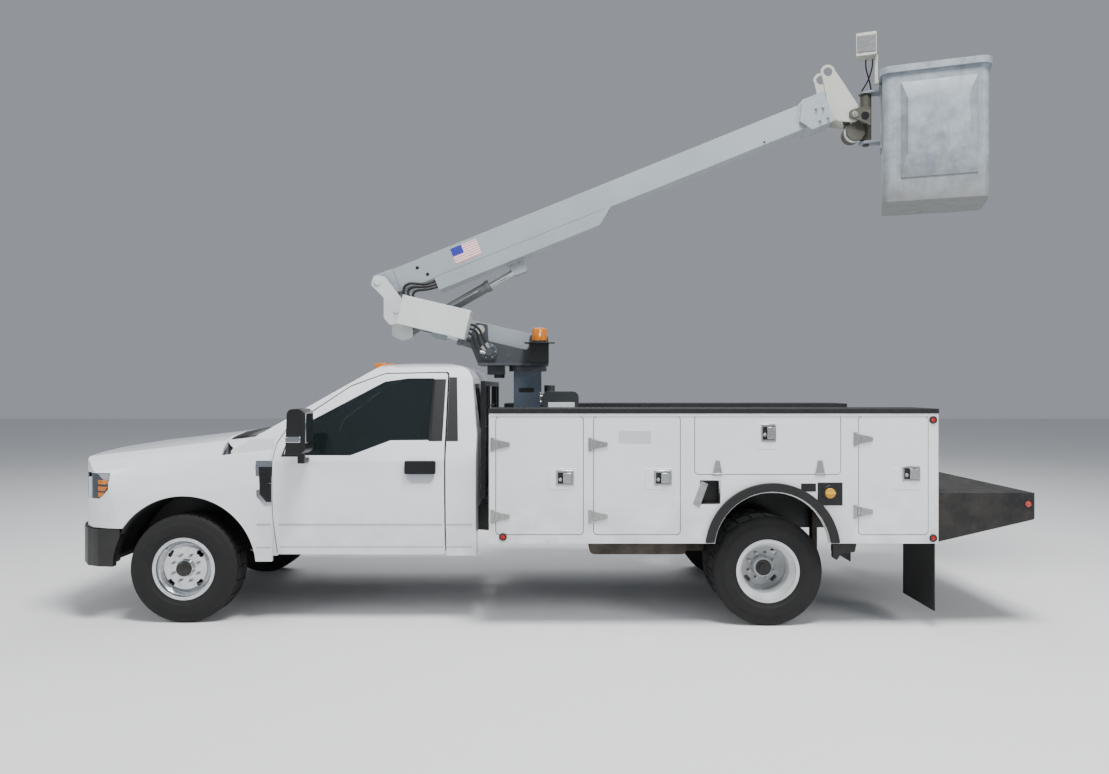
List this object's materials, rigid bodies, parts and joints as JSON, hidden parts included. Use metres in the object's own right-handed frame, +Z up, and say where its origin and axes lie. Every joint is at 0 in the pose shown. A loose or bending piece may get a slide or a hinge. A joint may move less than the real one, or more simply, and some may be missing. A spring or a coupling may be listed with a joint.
{
  "type": "cherry picker truck",
  "caption": "Bucket truck: crew pickup cab, service body with lockers and a telescopic articulating lift that holds a bucket level.",
  "frame": {"origin": "on the ground, midway along, across and under the whole truck with its lift parked", "axes": "+X towards the front bumper, +Y to the truck's left, +Z up"},
  "size_m": [7.3491, 2.62, 4.6998],
  "materials": {
    "white_paint": "gloss",
    "black_frame_paint": "satin",
    "dark_steel": "satin",
    "dark_grille": "gloss",
    "lamp_glass": "polished",
    "tinted_glass": "polished",
    "seat_trim": "matte",
    "black_plastic": "matte",
    "tyre_rubber": "matte",
    "bright_wheel": "polished",
    "silver_wheel_paint": "gloss",
    "black_top_sheet": "matte",
    "black_rubber": "matte",
    "red_lens": "gloss",
    "dark_tank_paint": "satin",
    "blue_grey_paint": "satin",
    "dark_grey_paint": "satin",
    "amber_lens": "gloss",
    "light_grey_paint": "satin",
    "white_cover": "satin",
    "head_paint": "satin",
    "link_paint": "satin",
    "barrel_paint": "satin",
    "chromed_rod": "polished",
    "weathered_steel": "matte",
    "bucket_fibreglass": "satin",
    "control_box_grey": "satin"
  },
  "bodies": {
    "chassis": {"frame_rails": "black_frame_paint", "axles": "dark_steel", "driveline": "dark_steel", "front_bumper": "black_frame_paint", "grille": "dark_grille", "headlamps": "lamp_glass", "fenders": "white_paint", "cab_shell": "white_paint", "cab_glass": "tinted_glass", "cab_interior": "seat_trim", "cab_guard": "black_frame_paint", "service_body": "white_paint", "locker_tops": "black_top_sheet", "rubber_guards": "black_rubber", "tail_platform": "black_frame_paint", "body_lamps": "red_lens", "oil_tank": "dark_tank_paint", "pedestal": "blue_grey_paint"},
    "hood": {"hood": "white_paint"},
    "left_door": {"left_door": "white_paint", "left_window": "tinted_glass", "left_mirror": "black_plastic"},
    "left_knuckle": {"left_knuckle": "dark_steel"},
    "front_left_wheel": {"front_left_tyre": "tyre_rubber", "front_left_rim": "bright_wheel"},
    "rear_left_wheels": {"rear_left_tyres": "tyre_rubber", "rear_left_rims": "silver_wheel_paint"},
    "left_front_locker_door": {"left_front_locker_door": "white_paint"},
    "left_middle_locker_door": {"left_middle_locker_door": "white_paint"},
    "left_drop_door": {"left_drop_door": "white_paint"},
    "left_rear_locker_door": {"left_rear_locker_door": "white_paint"},
    "right_door": {"right_door": "white_paint", "right_window": "tinted_glass", "right_mirror": "black_plastic"},
    "right_knuckle": {"right_knuckle": "dark_steel"},
    "front_right_wheel": {"front_right_tyre": "tyre_rubber", "front_right_rim": "bright_wheel"},
    "rear_right_wheels": {"rear_right_tyres": "tyre_rubber", "rear_right_rims": "silver_wheel_paint"},
    "right_front_locker_door": {"right_front_locker_door": "white_paint"},
    "right_middle_locker_door": {"right_middle_locker_door": "white_paint"},
    "right_drop_door": {"right_drop_door": "white_paint"},
    "right_rear_locker_door": {"right_rear_locker_door": "white_paint"},
    "turret": {"turret": "dark_grey_paint", "beacon": "amber_lens", "turret_hoses": "black_rubber"},
    "lower_arm": {"lower_arm": "light_grey_paint", "hose_cover": "white_cover"},
    "levelling_link": {"levelling_link": "link_paint"},
    "elbow_head": {"elbow_head": "head_paint"},
    "arm_cylinder": {"arm_cylinder": "barrel_paint"},
    "arm_piston_rod": {"arm_piston_rod": "chromed_rod"},
    "outer_boom": {"outer_boom": "light_grey_paint", "boom_hoses": "black_rubber"},
    "boom_cylinder": {"boom_cylinder": "barrel_paint"},
    "boom_piston_rod": {"boom_piston_rod": "chromed_rod"},
    "inner_boom": {"inner_boom": "light_grey_paint"},
    "bucket_carrier": {"bucket_carrier": "weathered_steel"},
    "bucket": {"bucket": "bucket_fibreglass", "bucket_controls": "control_box_grey"}
  },
  "joints": [
    {"name": "left_steering", "type": "hinge", "parent": "chassis", "child": "left_knuckle", "pos_m": [2.69988, 0.8, 0.3995], "axis": [0, 0, 1], "range_deg": [-30, 30]},
    {"name": "right_steering", "type": "hinge", "parent": "chassis", "child": "right_knuckle", "pos_m": [2.69988, -0.8, 0.3995], "axis": [0, 0, 1], "range_deg": [-30, 30]},
    {"name": "front_left_wheel_spin", "type": "hinge", "parent": "left_knuckle", "child": "front_left_wheel", "pos_m": [2.69988, 0.877, 0.3995], "axis": [0, 1, 0], "continuous": true},
    {"name": "rear_left_wheels_spin", "type": "hinge", "parent": "chassis", "child": "rear_left_wheels", "pos_m": [-1.60012, 0.82, 0.3995], "axis": [0, 1, 0], "continuous": true},
    {"name": "front_right_wheel_spin", "type": "hinge", "parent": "right_knuckle", "child": "front_right_wheel", "pos_m": [2.69988, -0.877, 0.3995], "axis": [0, 1, 0], "continuous": true},
    {"name": "rear_right_wheels_spin", "type": "hinge", "parent": "chassis", "child": "rear_right_wheels", "pos_m": [-1.60012, -0.82, 0.3995], "axis": [0, 1, 0], "continuous": true},
    {"name": "hood_hinge", "type": "hinge", "parent": "chassis", "child": "hood", "pos_m": [2.44988, 0, 1.39], "axis": [0, -1, 0], "range_deg": [0, 50]},
    {"name": "left_door_hinge", "type": "hinge", "parent": "chassis", "child": "left_door", "pos_m": [2.04188, 1.004, 1], "axis": [0, 0, -1], "range_deg": [0, 65]},
    {"name": "left_front_locker_door_hinge", "type": "hinge", "parent": "chassis", "child": "left_front_locker_door", "pos_m": [0.37588, 1.19, 1.1115], "axis": [0, 0, -1], "range_deg": [0, 95]},
    {"name": "left_middle_locker_door_hinge", "type": "hinge", "parent": "chassis", "child": "left_middle_locker_door", "pos_m": [-0.32412, 1.19, 1.1115], "axis": [0, 0, -1], "range_deg": [0, 95]},
    {"name": "left_rear_locker_door_hinge", "type": "hinge", "parent": "chassis", "child": "left_rear_locker_door", "pos_m": [-2.22012, 1.19, 1.1115], "axis": [0, 0, -1], "range_deg": [0, 95]},
    {"name": "left_drop_door_hinge", "type": "hinge", "parent": "chassis", "child": "left_drop_door", "pos_m": [-1.56762, 1.19, 1.122], "axis": [-1, 0, 0], "range_deg": [0, 95]},
    {"name": "right_door_hinge", "type": "hinge", "parent": "chassis", "child": "right_door", "pos_m": [2.04188, -1.004, 1], "axis": [0, 0, 1], "range_deg": [0, 65]},
    {"name": "right_front_locker_door_hinge", "type": "hinge", "parent": "chassis", "child": "right_front_locker_door", "pos_m": [0.37588, -1.19, 1.1115], "axis": [0, 0, 1], "range_deg": [0, 95]},
    {"name": "right_middle_locker_door_hinge", "type": "hinge", "parent": "chassis", "child": "right_middle_locker_door", "pos_m": [-0.32412, -1.19, 1.1115], "axis": [0, 0, 1], "range_deg": [0, 95]},
    {"name": "right_rear_locker_door_hinge", "type": "hinge", "parent": "chassis", "child": "right_rear_locker_door", "pos_m": [-2.22012, -1.19, 1.1115], "axis": [0, 0, 1], "range_deg": [0, 95]},
    {"name": "right_drop_door_hinge", "type": "hinge", "parent": "chassis", "child": "right_drop_door", "pos_m": [-1.56762, -1.19, 1.122], "axis": [1, 0, 0], "range_deg": [0, 95]},
    {"name": "slew", "type": "hinge", "parent": "chassis", "child": "turret", "pos_m": [0.18488, 0, 1.9], "axis": [0, 0, 1], "continuous": true},
    {"name": "arm_lift", "type": "hinge", "parent": "turret", "child": "lower_arm", "pos_m": [0.07388, 0, 2.101], "axis": [0, -1, 0], "range_deg": [0, 70]},
    {"name": "link_swing", "type": "hinge", "parent": "turret", "child": "levelling_link", "pos_m": [0.13788, -0.13, 2.024], "axis": [0, -1, 0], "range_deg": [0, 70]},
    {"name": "head_level", "type": "hinge", "parent": "lower_arm", "child": "elbow_head", "pos_m": [1.27868, 0, 2.3858], "axis": [0, -1, 0], "range_deg": [-70, 0]},
    {"name": "boom_lift", "type": "hinge", "parent": "elbow_head", "child": "outer_boom", "pos_m": [1.43468, 0, 2.6238], "axis": [0, 1, 0], "range_deg": [-12, 50]},
    {"name": "telescope", "type": "slide", "parent": "outer_boom", "child": "inner_boom", "axis": [-0.9272, 0, 0.3746], "range_m": [0, 2.4]},
    {"name": "bucket_level", "type": "hinge", "parent": "inner_boom", "child": "bucket_carrier", "pos_m": [-2.56701, 0, 4.03782], "axis": [0, 1, 0], "range_deg": [-50, 12]},
    {"name": "bucket_swing", "type": "hinge", "parent": "bucket_carrier", "child": "bucket", "pos_m": [-2.70201, 0, 4.03782], "axis": [0, 0, 1], "range_deg": [-40, 80]},
    {"name": "arm_cylinder_swing", "type": "hinge", "parent": "turret", "child": "arm_cylinder", "pos_m": [0.33488, 0, 2], "axis": [0, -1, 0], "range_deg": [0, 76]},
    {"name": "arm_rod_slide", "type": "slide", "parent": "arm_cylinder", "child": "arm_piston_rod", "axis": [0.9445, 0, 0.3284], "range_m": [0, 0.324]},
    {"name": "boom_cylinder_swing", "type": "hinge", "parent": "elbow_head", "child": "boom_cylinder", "pos_m": [1.23668, 0, 2.1978], "axis": [0, 1, 0], "range_deg": [-11.3, 43.7]},
    {"name": "boom_rod_slide", "type": "slide", "parent": "boom_cylinder", "child": "boom_piston_rod", "axis": [-0.8674, 0, 0.4977], "range_m": [-0.096, 0.37]}
  ],
  "couplings": [
    {"joint": "right_steering", "follows": "left_steering", "ratio": 1},
    {"joint": "link_swing", "follows": "arm_lift", "ratio": 1},
    {"joint": "head_level", "follows": "arm_lift", "ratio": -1},
    {"joint": "arm_cylinder_swing", "follows": "arm_lift", "ratio": 1.071},
    {"joint": "arm_rod_slide", "follows": "arm_lift", "m_per_rad": 0.2571},
    {"joint": "boom_cylinder_swing", "follows": "boom_lift", "ratio": 0.8543},
    {"joint": "boom_rod_slide", "follows": "boom_lift", "m_per_rad": 0.4129},
    {"joint": "bucket_level", "follows": "boom_lift", "ratio": -1}
  ]
}
